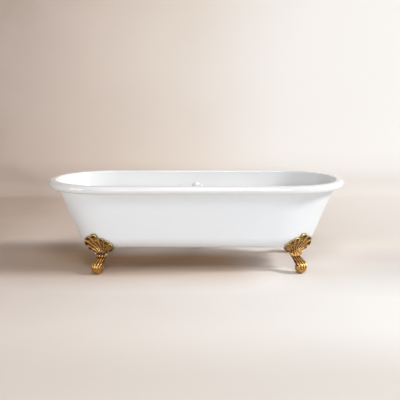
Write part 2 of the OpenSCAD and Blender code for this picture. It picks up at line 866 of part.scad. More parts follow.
module overflow_screws() {
    seat = wall + dish(overflow_plate_d, plate_rise, overflow_screw_gap - screw_head_d);
    color("gainsboro") at_overflow() for (side = [-1, 1])
        translate([side * overflow_screw_gap / 2, 0, -seat]) {
            translate([0, 0, -screw_head_t])
                cylinder(d1 = screw_head_d - 2, d2 = screw_head_d, h = screw_head_t);
            cylinder(d = screw_d - 2 * slip, h = seat + overflow_gasket_t + elbow_flange_t);
        }
}

// A slip nut from its face at the frame's floor, with its thread running up
module slip_nut() {
    difference() {
        union() {
            cylinder(r = nut_reach, h = nut_length - nut_collar, $fn = 6);
            cylinder(d = nut_flats, h = nut_length);
        }
        translate([0, 0, -over]) cylinder(d = tube_d + 4 * slip, h = nut_length);
        translate([0, 0, nut_face_t]) cylinder(d = nut_thread_d + 2 * slip, h = nut_length);
    }
}

// Each slip joint: the place of the spigot's mouth, and the turn that points z into the spigot
module at_slip_joints() {
    translate([waste_x, shoe_outlet_y, waste_z]) rotate([90, 0, 0]) children();
    translate([waste_x, tee_front_y, waste_z]) rotate([-90, 0, 0]) children();
    translate([waste_x, upright_y, tee_top_z]) rotate([180, 0, 0]) children();
    translate([waste_x, upright_y, elbow_bottom_z]) children();
}

module slip_nuts() {
    color("gainsboro") at_slip_joints() translate([0, 0, -slip_washer_t - nut_face_t]) slip_nut();
}

module slip_washers() {
    color("dimgray") at_slip_joints() translate([0, 0, -slip_washer_t])
        ring_of(nut_thread_d, tube_d + 2 * slip, slip_washer_t);
}

tub_shell();
front_left_foot();
front_right_foot();
back_left_foot();
back_right_foot();
foot_bolts();
foot_washers();
foot_pads();
drain_gasket();
drain_flange();
drain_washer();
drain_shoe();
stopper_post();
stopper_sleeve();
stopper_seal();
stopper_cap();
stopper_knob();
waste_tube();
waste_tee();
tailpiece();
overflow_tube();
overflow_elbow();
overflow_gasket();
overflow_plate();
overflow_screws();
slip_nuts();
slip_washers();
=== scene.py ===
from math import acos, cos, pi, radians, sin, tan

import bmesh
import bpy
import numpy as np
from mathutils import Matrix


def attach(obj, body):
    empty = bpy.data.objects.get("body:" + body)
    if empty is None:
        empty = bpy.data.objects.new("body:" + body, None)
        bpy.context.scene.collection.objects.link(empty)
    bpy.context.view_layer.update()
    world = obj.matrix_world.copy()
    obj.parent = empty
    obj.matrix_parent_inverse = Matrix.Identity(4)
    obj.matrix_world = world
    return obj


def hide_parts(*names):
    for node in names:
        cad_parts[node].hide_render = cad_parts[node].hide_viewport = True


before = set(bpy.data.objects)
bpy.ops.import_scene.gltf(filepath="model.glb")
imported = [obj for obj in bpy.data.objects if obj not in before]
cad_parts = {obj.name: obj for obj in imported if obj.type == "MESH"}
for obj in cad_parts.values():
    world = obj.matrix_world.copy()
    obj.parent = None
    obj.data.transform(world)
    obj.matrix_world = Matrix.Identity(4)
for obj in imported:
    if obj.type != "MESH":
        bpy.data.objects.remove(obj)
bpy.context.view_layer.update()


# Camera
# It stands 4 m in front of the tub's middle and 1.1 m up, tilted down by 10 degrees. The small shift puts
# the tub as far to the left of the middle as the photograph has it.
camera_data = bpy.data.cameras.new("camera")
camera_data.sensor_width = 36.0
camera_data.lens = 58.1
camera_data.shift_x = 0.0093
camera = bpy.data.objects.new("camera", camera_data)
camera.location = (0.0, -4.0, 1.1013)
camera.rotation_euler = (radians(90 - 9.93), 0.0, 0.0)
bpy.context.collection.objects.link(camera)
bpy.context.scene.camera = camera


# Studio
# A warm beige plaster wall 2.5 m behind the tub's middle runs down into a floor of the same plaster in a
# small cove. Soft light comes from a large lamp high on the right. Three weaker ones fill in from the front,
# the left and above the camera.
floor_half_width = 8.0
floor_front_y = -7.0
wall_y = 2.55
wall_height = 5.0
cove_radius = 0.16
cove_steps = 16


def colour(code):
    """An sRGB hex colour as the linear values that a shader takes."""
    parts = [int(code[i:i + 2], 16) / 255 for i in (0, 2, 4)]
    return [p / 12.92 if p <= 0.04045 else ((p + 0.055) / 1.055) ** 2.4 for p in parts] + [1.0]


def add(tree, kind, inputs=None, stops=None, **settings):
    """Adds a node, sets it, and gives each of its inputs, by name or number, a value or a link.

    A node among the inputs stands for its first output.
    """
    made = tree.nodes.new(kind)
    for name, value in settings.items():
        setattr(made, name, value)
    for name, value in (inputs or {}).items():
        if isinstance(value, bpy.types.Node):
            value = value.outputs[0]
        if isinstance(value, bpy.types.NodeSocket):
            tree.links.new(value, made.inputs[name])
        else:
            made.inputs[name].default_value = value
    if stops:
        ramp = made.color_ramp
        for place, code in stops[1:-1]:
            ramp.elements.new(place).color = colour(code)
        ramp.elements[0].position, ramp.elements[0].color = stops[0][0], colour(stops[0][1])
        ramp.elements[-1].position, ramp.elements[-1].color = stops[-1][0], colour(stops[-1][1])
    return made


def new_material(name):
    """An empty material, its node tree, and the object's own coordinates in metres."""
    made = bpy.data.materials.new(name)
    made.use_nodes = True
    made.node_tree.nodes.clear()
    place = add(made.node_tree, "ShaderNodeTexCoord").outputs["Object"]
    return made, made.node_tree, place


def new_piece(name, mesh):
    """A new object with this mesh, put into the scene."""
    made = bpy.data.objects.new(name, mesh)
    bpy.context.collection.objects.link(made)
    return made


# Trowelled plaster has broad soft clouds of tone. Across the wall and floor it runs from a darker warm beige
# on the left to near white on the right, towards the lamp: partly the plaster's own colour, partly painted
# light falling off away from the lamp.
plaster, tree, place = new_material("trowelled_plaster")
split = add(tree, "ShaderNodeSeparateXYZ", {"Vector": place}).outputs
across = add(tree, "ShaderNodeMapRange", {"Value": split["X"], "From Min": -2.2, "From Max": 2.2})
clouds = add(tree, "ShaderNodeTexNoise", {"Vector": place, "Scale": 1.3, "Detail": 5.0, "Roughness": 0.55})
shifted = add(tree, "ShaderNodeMath", {0: clouds, 1: 0.16, 2: -0.08}, operation="MULTIPLY_ADD")
tone = add(tree, "ShaderNodeMath", {0: across, 1: shifted}, operation="ADD")
# The wall is darker high up. Painted shade darkens the wall low down, and the floor from behind the tub to
# the wall's foot.
high = add(tree, "ShaderNodeMapRange", {"Value": split["Z"], "From Min": 1.3, "From Max": 1.9,
                                        "To Min": 0.0, "To Max": -0.09})
low = add(tree, "ShaderNodeMapRange", {"Value": split["Z"], "From Min": 0.12, "From Max": 0.36,
                                       "To Min": -0.14, "To Max": 0.0})
far = add(tree, "ShaderNodeMapRange", {"Value": split["Y"], "From Min": 0.2, "From Max": 0.7})
low = add(tree, "ShaderNodeMath", {0: low, 1: far, 2: high}, operation="MULTIPLY_ADD")
tone = add(tree, "ShaderNodeMath", {0: tone, 1: low}, operation="ADD")
tint = add(tree, "ShaderNodeValToRGB", {"Fac": tone}, stops=[
    (0.0, "C2B3A9"), (0.07, "CEC0B7"), (0.23, "DED1C8"), (0.42, "EAE1D9"), (0.7, "F4F1ED"), (0.95, "F3F2F0")])
# Painted shadow: below the tub, where its shadow falls, the plaster is darkened and browned. That patch ends
# at a reach of 1.
shade_left = add(tree, "ShaderNodeMapRange", {"Value": split["X"], "From Min": -0.5, "From Max": -1.9})
shade_right = add(tree, "ShaderNodeMapRange", {"Value": split["X"], "From Min": 0.05, "From Max": 0.65},
                  interpolation_type="SMOOTHSTEP")
shade_x = add(tree, "ShaderNodeMath", {0: shade_left, 1: shade_right}, operation="ADD")
shade_front = add(tree, "ShaderNodeMapRange", {"Value": split["Y"], "From Min": 0.05, "From Max": -0.62})
shade_far = add(tree, "ShaderNodeMapRange", {"Value": split["X"], "From Min": -0.6, "From Max": -0.85,
                                             "To Min": 0.08, "To Max": 0.3})
beyond = add(tree, "ShaderNodeMath", {0: split["Y"], 1: shade_far}, operation="SUBTRACT")
shade_back = add(tree, "ShaderNodeMapRange", {"Value": beyond, "From Min": 0.0, "From Max": 0.26})
shade_y = add(tree, "ShaderNodeMath", {0: shade_front, 1: shade_back}, operation="ADD")
shade_z = add(tree, "ShaderNodeMath", {0: split["Z"], 1: 10.0}, operation="MULTIPLY")
shade_place = add(tree, "ShaderNodeCombineXYZ", {"X": shade_x, "Y": shade_y, "Z": shade_z})
shade_reach = add(tree, "ShaderNodeVectorMath", {0: shade_place}, operation="LENGTH")
shade = add(tree, "ShaderNodeValToRGB", {"Fac": shade_reach.outputs["Value"]}, stops=[
    (0.12, "D3B69A"), (0.3, "D6C3B1"), (0.5, "E2D5CB"), (0.7, "EEE7E2"), (0.85, "F7F3F1"), (1.0, "FDFCFB")])
# A colour mix takes its share at input 0 and its colours at 6 and 7, and gives its result at output 2.
# The painted shadow is multiplied over the plaster.
tub_shadow_painted = add(tree, "ShaderNodeMix", {0: 1.0, 6: tint, 7: shade}, data_type="RGBA", blend_type="MULTIPLY")
# Painted light and shade on the floor near the tub: it is tinted cooler in front of the tub, and darkened
# with painted shade beside its right end, on the low part of the wall there too, and behind its left end.
at_right = add(tree, "ShaderNodeMapRange", {"Value": split["X"], "From Min": 0.3, "From Max": 0.8},
               interpolation_type="SMOOTHSTEP")
at_left = add(tree, "ShaderNodeMapRange", {"Value": split["X"], "From Min": 0.0, "From Max": -0.7},
              interpolation_type="SMOOTHSTEP")
deep = add(tree, "ShaderNodeMapRange", {"Value": split["Y"], "From Min": -0.8, "From Max": 0.8})
in_front = add(tree, "ShaderNodeMapRange", {"Value": split["Y"], "From Min": 0.5, "From Max": 0.2},
               interpolation_type="SMOOTHSTEP")
front_tone = add(tree, "ShaderNodeRGB")
front_tone.outputs[0].default_value = colour("F9FBFE")
right_tone = add(tree, "ShaderNodeValToRGB", {"Fac": deep}, stops=[
    (0.05, "FFFFFF"), (0.35, "EBE7E4"), (0.55, "E9E2DE"), (0.72, "F3EEEA"), (1.0, "EEEBEA")])
left_tone = add(tree, "ShaderNodeValToRGB", {"Fac": deep}, stops=[(0.62, "FFFFFF"), (0.8, "FAF8F6")])
floor_with_painted_light = tub_shadow_painted
for place_share, painted_light_tone, top in ((in_front, front_tone, 0.12), (at_right, right_tone, 0.48),
                                    (at_left, left_tone, 0.12)):
    is_low = add(tree, "ShaderNodeMapRange", {"Value": split["Z"], "From Min": top, "From Max": 0.0})
    painted_light_share = add(tree, "ShaderNodeMath", {0: place_share, 1: is_low}, operation="MULTIPLY")
    floor_with_painted_light = add(tree, "ShaderNodeMix", {0: painted_light_share, 6: floor_with_painted_light.outputs[2], 7: painted_light_tone},
                  data_type="RGBA", blend_type="MULTIPLY")
# Far in front of the tub, towards the camera, the floor is darker and greyer: painted shade.
front_painted_shade = add(tree, "ShaderNodeMapRange", {"Value": split["Y"], "From Min": -1.75, "From Max": -1.1,
                                        "To Min": 0.54, "To Max": 0.0}, interpolation_type="SMOOTHSTEP")
floored = add(tree, "ShaderNodeMix", {
    0: front_painted_shade, 6: floor_with_painted_light.outputs[2], 7: colour("C6BDB4")}, data_type="RGBA")
# Painted light: the right half of the wall, towards the lamp, is lighter and whiter.
lit_side = add(tree, "ShaderNodeMapRange", {"Value": split["X"], "From Min": 0.0, "From Max": 0.8,
                                            "To Min": 0.0, "To Max": 0.4})
on_wall = add(tree, "ShaderNodeMapRange", {"Value": split["Z"], "From Min": 0.1, "From Max": 0.3})
wall_painted_light = add(tree, "ShaderNodeMath", {0: lit_side, 1: on_wall}, operation="MULTIPLY")
wall_with_painted_light = add(tree, "ShaderNodeMix", {
    0: wall_painted_light, 6: floored.outputs[2], 7: colour("FBFCFF")}, data_type="RGBA")
grain = add(tree, "ShaderNodeBump", {"Height": clouds, "Strength": 0.05, "Distance": 0.01})
matt = add(tree, "ShaderNodeBsdfPrincipled", {
    "Base Color": wall_with_painted_light.outputs[2], "Roughness": 0.85, "Specular IOR Level": 0.2, "Normal": grain})
# Seen from behind, the wall lets the camera and the light through.
clear = add(tree, "ShaderNodeBsdfTransparent")
rear = add(tree, "ShaderNodeNewGeometry").outputs["Backfacing"]
one_sided = add(tree, "ShaderNodeMixShader", {"Fac": rear, 1: matt, 2: clear})
add(tree, "ShaderNodeOutputMaterial", {"Surface": one_sided})

cove = [(wall_y - cove_radius + cove_radius * sin(t), cove_radius - cove_radius * cos(t))
        for t in np.linspace(0, pi / 2, cove_steps + 1)]
sweep = [(floor_front_y, 0.0), (0.0, 0.0)] + cove + [(wall_y, wall_height)]
ends = [(x, y, z) for x in (-floor_half_width, floor_half_width) for y, z in sweep]
count = len(sweep)
stage_mesh = bpy.data.meshes.new("studio_sweep")
stage_mesh.from_pydata(ends, [], [(i, count + i, count + i + 1, i + 1) for i in range(count - 1)])
stage_mesh.materials.append(plaster)
stage_mesh.shade_smooth()
studio_sweep = new_piece("studio_sweep", stage_mesh)


def add_lamp(name, spot, aim, size, power, tint):
    """A rectangular lamp at a spot, turned towards its aim."""
    data = bpy.data.lights.new(name, "AREA")
    data.shape = "RECTANGLE"
    data.size, data.size_y = size
    data.energy = power
    data.color = colour(tint)[:3]
    lamp = bpy.data.objects.new(name, data)
    lamp.location = spot
    away = np.array(spot) - np.array(aim)
    flat = float(np.hypot(away[0], away[1]))
    lamp.rotation_euler = (float(np.arctan2(flat, away[2])), 0.0, float(np.arctan2(away[0], -away[1])))
    bpy.context.collection.objects.link(lamp)


add_lamp("right_lamp", (13.5, -2.6, 9.2), (0.0, 0.0, 0.2), (3.4, 3.4), 2250.0, "FFFEFC")
add_lamp("front_lamp", (0.2, -6.2, 1.6), (0.0, 0.0, 0.35), (3.0, 1.0), 98.0, "FAFCFF")
add_lamp("left_lamp", (-5.0, -2.8, 1.25), (0.0, 0.0, 0.3), (2.4, 1.6), 82.0, "FFFFFF")
add_lamp("top_lamp", (0.3, -3.9, 4.8), (0.0, 0.0, 0.45), (1.7, 1.7), 104.0, "FFFFFF")

world = bpy.data.worlds.new("studio_air")
bpy.context.scene.world = world
world.use_nodes = True
tree = world.node_tree
tree.nodes.clear()
# The camera sees the air at full strength, glossy pieces at two thirds, and the rest gets a little of it.
seen = add(tree, "ShaderNodeLightPath")
glint = add(tree, "ShaderNodeMath", {0: seen.outputs["Is Glossy Ray"], 1: 0.6, 2: 0.07},
            operation="MULTIPLY_ADD")
strength = add(tree, "ShaderNodeMath", {0: seen.outputs["Is Camera Ray"], 1: glint}, operation="MAXIMUM")
air = add(tree, "ShaderNodeBackground", {"Color": colour("F1ECE6"), "Strength": strength})
add(tree, "ShaderNodeOutputWorld", {"Surface": air})
bpy.context.scene.view_settings.view_transform = "Standard"


# Tub
# One grey iron casting with a rolled rim, its walls 8 mm thick. White vitreous enamel is fired on the inside
# and over the roll, and the outside is sprayed with white paint. Four pads are cast below for the feet.
tub_length = 1.83
tub_width = 0.78
tub_height = 0.544
floor_gap = 0.144
wall = 0.008
end_lean = radians(22)
side_lean = radians(12)
base_radius = 0.1
rim_width = 0.05
rim_drop = 0.048
rim_edge_radius = 0.012
lip_angle = radians(-72)
roll_power = 0.88
roll_offset = 0.002
lip_bulge = 0.6
base_centre_z = floor_gap + base_radius

# Steps of the section's mesh, in order from the underside over the roll to the bowl's floor
base_steps = 28
side_steps = 14
roll_inside_steps = 20
lip_steps = 8
roll_steps = 44
top_steps = 3
edge_steps = 12
bowl_side_steps = 16
bowl_base_steps = 32


def inner_n(z, lean):
    """Distance of the inner wall from the rim's inner edge, at height z."""
    edge_z = tub_height - rim_edge_radius * (1 - sin(lean))
    return rim_edge_radius * (1 - cos(lean)) - (edge_z - z) * tan(lean)


def base_n(lean):
    """The same for the centre of the radius between wall and underside."""
    return inner_n(base_centre_z, lean) - (base_radius - wall) / cos(lean)


def arc(centre, reach, first, last, steps, power=1.0):
    """Points of an ellipse from one angle to another, as [distance, height]. Less power squares it."""
    turns = np.linspace(first, last, steps + 1)
    c, s = np.cos(turns), np.sin(turns)
    return np.stack([centre[0] + reach[0] * np.sign(c) * np.abs(c) ** power,
                     centre[1] + reach[1] * np.sign(s) * np.abs(s) ** power], 1)


def straight(first, last, steps):
    """The points between two others, without those two."""
    return np.linspace(first, last, steps + 1)[1:-1]


def tub_section(lean):
    """The tub's section at a wall of this lean, and how many of its points are painted."""
    low = (base_n(lean), base_centre_z)
    roll = (rim_width / 2 + roll_offset, tub_height - rim_drop / 2)
    reach = (rim_width - roll[0], rim_drop / 2)
    inside = (reach[0] - wall, reach[1] - wall)
    skin_out = arc(roll, reach, lip_angle, pi / 2, roll_steps, roll_power)
    lip_out = skin_out[0]
    lip_in = np.array([roll[0] + inside[0] * cos(lip_angle), roll[1] + inside[1] * sin(lip_angle)])
    middle, half = (lip_in + lip_out) / 2, (lip_out - lip_in) / 2
    sideways = np.array([half[1], -half[0]])
    turns = np.linspace(0, pi, lip_steps + 1)[1:-1, None]
    lip = middle - half * np.cos(turns) - sideways * lip_bulge * np.sin(turns)
    outside = arc(low, (base_radius, base_radius), -pi / 2, -lean, base_steps)
    under = [inner_n(tub_height - wall, lean) + wall / cos(lean), tub_height - wall]
    skin_in = arc(roll, inside, pi / 2, lip_angle, roll_inside_steps)
    edge = arc((rim_edge_radius, tub_height - rim_edge_radius), (rim_edge_radius, rim_edge_radius),
               pi / 2, pi - lean, edge_steps)
    bowl = arc(low, (base_radius - wall, base_radius - wall), -lean, -pi / 2, bowl_base_steps)
    parts = [outside, straight(outside[-1], under, side_steps), [under], skin_in, lip, skin_out,
             straight(skin_out[-1], edge[0], top_steps), edge,
             straight(edge[-1], bowl[0], bowl_side_steps), bowl]
    painted = sum(len(p) for p in parts[:3])
    return np.concatenate(parts), painted


side, painted = tub_section(side_lean)
end, painted = tub_section(end_lean)

# Points round the tub: how far each keeps to the right or left end, and its angle round that end. Faces join
# them row by row, and the flat underside and floor are closed by strips from front to back.
end_steps = 96
long_steps = 14
round_turns = np.linspace(-pi / 2, pi / 2, end_steps + 1)
keep = np.concatenate([np.ones(end_steps + 1), np.linspace(1, -1, long_steps + 1)[1:-1],
                       -np.ones(end_steps + 1), np.linspace(-1, 1, long_steps + 1)[1:-1]])
turn = np.concatenate([round_turns, np.full(long_steps - 1, pi / 2),
                       round_turns + pi, np.full(long_steps - 1, 1.5 * pi)])
rows, round_count = len(side), len(keep)
faces = []
for k in range(rows - 1):
    for i in range(round_count):
        j = (i + 1) % round_count
        a, b = k * round_count, (k + 1) * round_count
        faces.append((a + i, a + j, b + j, b + i))
for first, flip in ((0, True), ((rows - 1) * round_count, False)):
    for i in range(end_steps // 2, end_steps // 2 + round_count // 2):
        front_a, front_b = (end_steps - i) % round_count, (end_steps - i - 1) % round_count
        loop = [front_a, i, i + 1, front_b]
        loop = [first + p % round_count for n, p in enumerate(loop) if p % round_count not in
                [q % round_count for q in loop[:n]]]
        faces.append(tuple(reversed(loop)) if flip else tuple(loop))

tub_mesh = bpy.data.meshes.new("tub_rule")
tub_mesh.from_pydata(np.zeros((rows * round_count, 3)), [], faces)
for name, values in (
        ("side_n", np.repeat(side[:, 0], round_count)), ("side_z", np.repeat(side[:, 1], round_count)),
        ("end_n", np.repeat(end[:, 0], round_count)), ("end_z", np.repeat(end[:, 1], round_count)),
        ("keep", np.tile(keep, rows)), ("turn", np.tile(turn, rows))):
    tub_mesh.attributes.new(name, "FLOAT", "POINT").data.foreach_set("value", values.astype(np.float32))
paint_faces = np.zeros(len(faces), dtype=bool)
paint_faces[:(painted - 1) * round_count] = True
paint_faces[(rows - 1) * round_count:(rows - 1) * round_count + round_count // 2] = True
tub_mesh.attributes.new("painted", "BOOLEAN", "FACE").data.foreach_set("value", paint_faces)

# Fired enamel is a thick glass skin with a faint orange peel, 12 mm from crest to crest.
enamel, tree, place = new_material("vitreous_enamel")
peel = add(tree, "ShaderNodeTexNoise", {"Vector": place, "Scale": 80.0, "Detail": 2.0, "Roughness": 0.4})
waves = add(tree, "ShaderNodeBump", {"Height": peel, "Strength": 0.06, "Distance": 0.0012})
bloom = add(tree, "ShaderNodeTexNoise", {"Vector": place, "Scale": 3.0, "Detail": 3.0, "Roughness": 0.5})
white = add(tree, "ShaderNodeValToRGB", {"Fac": bloom}, stops=[(0.3, "DFE0E1"), (0.7, "E2E3E4")])
polish = add(tree, "ShaderNodeMapRange", {
    "Value": bloom, "From Min": 0.3, "From Max": 0.7, "To Min": 0.1, "To Max": 0.16})
glass = add(tree, "ShaderNodeBsdfPrincipled", {
    "Base Color": white, "Roughness": polish, "IOR": 1.52,
    "Coat Weight": 0.25, "Coat Roughness": 0.08, "Normal": waves})
add(tree, "ShaderNodeOutputMaterial", {"Surface": glass})

# Sprayed paint over sanded iron is a satin white, with shallow waves 60 mm long from the casting.
paint, tree, place = new_material("satin_white_paint")
cast_waves = add(tree, "ShaderNodeTexNoise", {
    "Vector": place, "Scale": 16.0, "Detail": 2.0, "Roughness": 0.5})
spray = add(tree, "ShaderNodeTexNoise", {"Vector": place, "Scale": 260.0, "Detail": 2.0, "Roughness": 0.6})
body_bump = add(tree, "ShaderNodeBump", {"Height": cast_waves, "Strength": 0.10, "Distance": 0.002})
skin_bump = add(tree, "ShaderNodeBump", {
    "Height": spray, "Strength": 0.05, "Distance": 0.0006, "Normal": body_bump})
sprayed = add(tree, "ShaderNodeBsdfPrincipled", {
    "Base Color": colour("E9EDF1"), "Roughness": 0.34, "IOR": 1.5, "Normal": skin_bump})
add(tree, "ShaderNodeOutputMaterial", {"Surface": sprayed})

# The rule that lays the section round the outline, with the tub's sizes as its inputs
rule = bpy.data.node_groups.new("round_ended_tub", "GeometryNodeTree")
rule.is_modifier = True
rule.interface.new_socket("Geometry", in_out="INPUT", socket_type="NodeSocketGeometry")
rule_inputs = {
    name: rule.interface.new_socket(name, in_out="INPUT", socket_type=kind).identifier
    for name, kind in (("Length", "NodeSocketFloat"), ("Width", "NodeSocketFloat"),
                       ("Rim width", "NodeSocketFloat"), ("Enamel", "NodeSocketMaterial"),
                       ("Paint", "NodeSocketMaterial"))}
rule.interface.new_socket("Geometry", in_out="OUTPUT", socket_type="NodeSocketGeometry")
sizes = add(rule, "NodeGroupInput").outputs
stored = {
    name: add(rule, "GeometryNodeInputNamedAttribute", {"Name": name}, data_type=kind)
    for name, kind in (("side_n", "FLOAT"), ("side_z", "FLOAT"), ("end_n", "FLOAT"), ("end_z", "FLOAT"),
                       ("keep", "FLOAT"), ("turn", "FLOAT"), ("painted", "BOOLEAN"))}
# Half the width and half the length of the tub at each point's row
halves = []
for size, row in (("Width", "side_n"), ("Length", "end_n")):
    outer = add(rule, "ShaderNodeMath", {0: sizes[size], 1: 0.5, 2: stored[row]}, operation="MULTIPLY_ADD")
    halves.append(add(rule, "ShaderNodeMath", {0: outer, 1: sizes["Rim width"]}, operation="SUBTRACT"))
half_wide, half_long = halves
reach = add(rule, "ShaderNodeMath", {0: half_long, 1: half_wide}, operation="SUBTRACT")
shift = add(rule, "ShaderNodeMath", {0: reach, 1: stored["keep"]}, operation="MULTIPLY")
cosine = add(rule, "ShaderNodeMath", {0: stored["turn"]}, operation="COSINE")
sine = add(rule, "ShaderNodeMath", {0: stored["turn"]}, operation="SINE")
end_share = add(rule, "ShaderNodeMath", {0: cosine, 1: cosine}, operation="MULTIPLY")
rise = add(rule, "ShaderNodeMath", {0: stored["end_z"], 1: stored["side_z"]}, operation="SUBTRACT")
x = add(rule, "ShaderNodeMath", {0: half_wide, 1: cosine, 2: shift}, operation="MULTIPLY_ADD")
y = add(rule, "ShaderNodeMath", {0: half_wide, 1: sine}, operation="MULTIPLY")
z = add(rule, "ShaderNodeMath", {0: rise, 1: end_share, 2: stored["side_z"]}, operation="MULTIPLY_ADD")
spot = add(rule, "ShaderNodeCombineXYZ", {"X": x, "Y": y, "Z": z})
laid = add(rule, "GeometryNodeSetPosition", {"Geometry": sizes["Geometry"], "Position": spot})
real = add(rule, "GeometryNodeRealizeInstances", {"Geometry": laid})
glazed = add(rule, "GeometryNodeSetMaterial", {"Geometry": real, "Material": sizes["Enamel"]})
coated = add(rule, "GeometryNodeSetMaterial", {
    "Geometry": glazed, "Selection": stored["painted"], "Material": sizes["Paint"]})
add(rule, "NodeGroupOutput", {"Geometry": coated})


def made_by(tree, values, mesh, name):
    """Runs a node tree on a mesh, with its inputs by identifier, and returns the plain mesh."""
    carrier = new_piece(name, mesh)
    modifier = carrier.modifiers.new("rule", "NODES")
    modifier.node_group = tree
    for identifier, value in values.items():
        modifier[identifier] = value
    shown = carrier.evaluated_get(bpy.context.evaluated_depsgraph_get())
    result = bpy.data.meshes.new_from_object(shown)
    bpy.data.objects.remove(carrier)
    return result


laid_mesh = made_by(rule, {
    rule_inputs["Length"]: tub_length, rule_inputs["Width"]: tub_width, rule_inputs["Rim width"]: rim_width,
    rule_inputs["Enamel"]: enamel, rule_inputs["Paint"]: paint}, tub_mesh, "tub_rule")
for name in ("side_n", "side_z", "end_n", "end_z", "keep", "turn", "painted"):
    if name in laid_mesh.attributes:
        laid_mesh.attributes.remove(laid_mesh.attributes[name])
tub_shell = new_piece("enamelled_tub", laid_mesh)

# The drain hole with its shallow seat, and the overflow hole, are cast and ground in the iron.
waste_x = 0.006
drain_y = 0.12
drain_hole_radius = 0.025
drain_seat_radius = 0.038
drain_seat_depth = 0.0025
overflow_hole_radius = 0.03
overflow_z = 0.43
overflow_y = tub_width / 2 - rim_width + inner_n(overflow_z, side_lean) + wall / cos(side_lean)


def add_rod(work, radius, low, high, spot, lean=0.0, sides=96):
    """Adds a closed cylinder to a bmesh: round z, leant back about x, then put at its spot."""
    made = bmesh.ops.create_cone(work, cap_ends=True, segments=sides, radius1=radius, radius2=radius,
                                 depth=high - low)["verts"]
    bmesh.ops.translate(work, verts=made, vec=(0, 0, (low + high) / 2))
    for v in made:
        y, z = v.co.y, v.co.z
        v.co.y, v.co.z = y * cos(lean) - z * sin(lean), y * sin(lean) + z * cos(lean)
    bmesh.ops.translate(work, verts=made, vec=spot)


def mesh_of(work, name):
    """A bmesh's mesh. The bmesh is let go."""
    made = bpy.data.meshes.new(name)
    work.to_mesh(made)
    work.free()
    return made


def cut(piece, tool_mesh, operation="DIFFERENCE"):
    """Cuts a piece with a closed mesh, or joins that mesh to it, and keeps the result."""
    tool = new_piece("tool", tool_mesh)
    modifier = piece.modifiers.new("cut", "BOOLEAN")
    modifier.operation = operation
    modifier.solver = "EXACT"
    modifier.object = tool
    shown = piece.evaluated_get(bpy.context.evaluated_depsgraph_get())
    result = bpy.data.meshes.new_from_object(shown)
    piece.modifiers.remove(modifier)
    bpy.data.objects.remove(tool)
    piece.data = result


drain_spot = (waste_x, drain_y, 0.0)
overflow_spot = (waste_x, overflow_y, overflow_z)
seat_z = floor_gap + wall - drain_seat_depth
for name, radius, low, high, spot, lean in (
        ("drain_hole", drain_hole_radius, floor_gap - 0.004, floor_gap + 0.02, drain_spot, 0.0),
        ("drain_seat", drain_seat_radius, seat_z, floor_gap + 0.03, drain_spot, 0.0),
        ("overflow_hole", overflow_hole_radius, -0.02, 0.02, overflow_spot, -pi / 2 - side_lean)):
    rod = bmesh.new()
    add_rod(rod, radius, low, high, spot, lean)
    cut(tub_shell, mesh_of(rod, name))

# The feet stand off the corners in these directions. Each has a cast pad above its bolt.
left_foot_turn = radians(65.5)
right_foot_turn = radians(57.5)
base_half_width = tub_width / 2 - rim_width + base_n(side_lean)
foot_axis_x = tub_length / 2 - rim_width + base_n(end_lean) - base_half_width
boss_x = base_half_width - 0.012
boss_height = 0.006
boss_radius = 0.022
boss_root = 0.002


def foot_place(x_sign, y_sign, out, across=0.0):
    """Plan position of a point in a foot's own frame, at the corner with these signs."""
    turn = right_foot_turn if x_sign > 0 else left_foot_turn
    return (x_sign * (foot_axis_x + out * cos(turn) - across * sin(turn)),
            y_sign * (out * sin(turn) + across * cos(turn)))


corners = {"front_left_foot": (-1, -1), "front_right_foot": (1, -1),
           "back_left_foot": (-1, 1), "back_right_foot": (1, 1)}
pads = bmesh.new()
for x_sign, y_sign in corners.values():
    pad_x, pad_y = foot_place(x_sign, y_sign, boss_x)
    add_rod(pads, boss_radius, floor_gap - boss_height, floor_gap + boss_root, (pad_x, pad_y, 0.0))
cut(tub_shell, mesh_of(pads, "cast_pads"), "UNION")
tub_shell.data.shade_smooth()
tub_shell.data.set_sharp_from_angle(angle=radians(40))
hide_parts("tub_shell")
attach(tub_shell, "tub")


# Claw feet
# Each is one brass casting: a ball held by talons, a leg, a fan of hollow lobes that follows the tub's
# corner, and a tongue behind it for the bolt. Polished and then darkened, its hollows keep a brown patina.
ball_flat_z = 0.002
ball_flat = 0.97
ball_radius = 0.0355
ball_height = ball_flat_z + ball_flat * ball_radius
ankle_x = base_half_width + 0.062
ball_kick = 0.056
ball_x = ankle_x + ball_kick
ankle_width = 0.062
ankle_height = 0.103
fan_reach = 0.165
fan_spread = radians(64)
fan_tilt = radians(14)
fan_sweep = 0.42
fan_droop = 0.3
fan_curl = 0.013
fan_lobes = 7
fan_gap = 0.002
fan_root = 0.040
pad_recess_radius = 0.0111
fan_bend_radius = base_half_width + 0.8 * base_radius
fan_bend_arc = base_radius * (pi / 2 - side_lean)


def smooth_step(value, low, high):
    """From 0 at low to 1 at high, flat at both ends."""
    t = np.clip((value - low) / (high - low), 0, 1)
    return t * t * (3 - 2 * t)


def corner_side(radius, share, past, lean):
    """Distance and height of a point off the tub's corner, at a wall of this lean."""
    angle = share * (pi / 2 - lean)
    return (base_n(lean) + radius * np.sin(angle) + past * sin(lean),
            base_centre_z - radius * np.cos(angle) + past * cos(lean))


def corner_points(turn, up, off):
    """Points near the tub's corner: turned so far round it, so far up it, so far off it."""
    share, past = np.minimum(up / fan_bend_arc, 1), np.maximum(0, up - fan_bend_arc)
    side_n, side_z = corner_side(base_radius + off, share, past, side_lean)
    end_n, end_z = corner_side(base_radius + off, share, past, end_lean)
    r = tub_width / 2 - rim_width + side_n
    centre = tub_length / 2 - rim_width + end_n - r
    mix = np.cos(turn) ** 2
    return np.stack([centre + r * np.cos(turn), r * np.sin(turn), side_z * (1 - mix) + end_z * mix], -1)


def table(value, *pairs):
    """The value between the given pairs, which are in millimetres."""
    return np.interp(value, [p[0] / 1000 for p in pairs], [p[1] / 1000 for p in pairs])


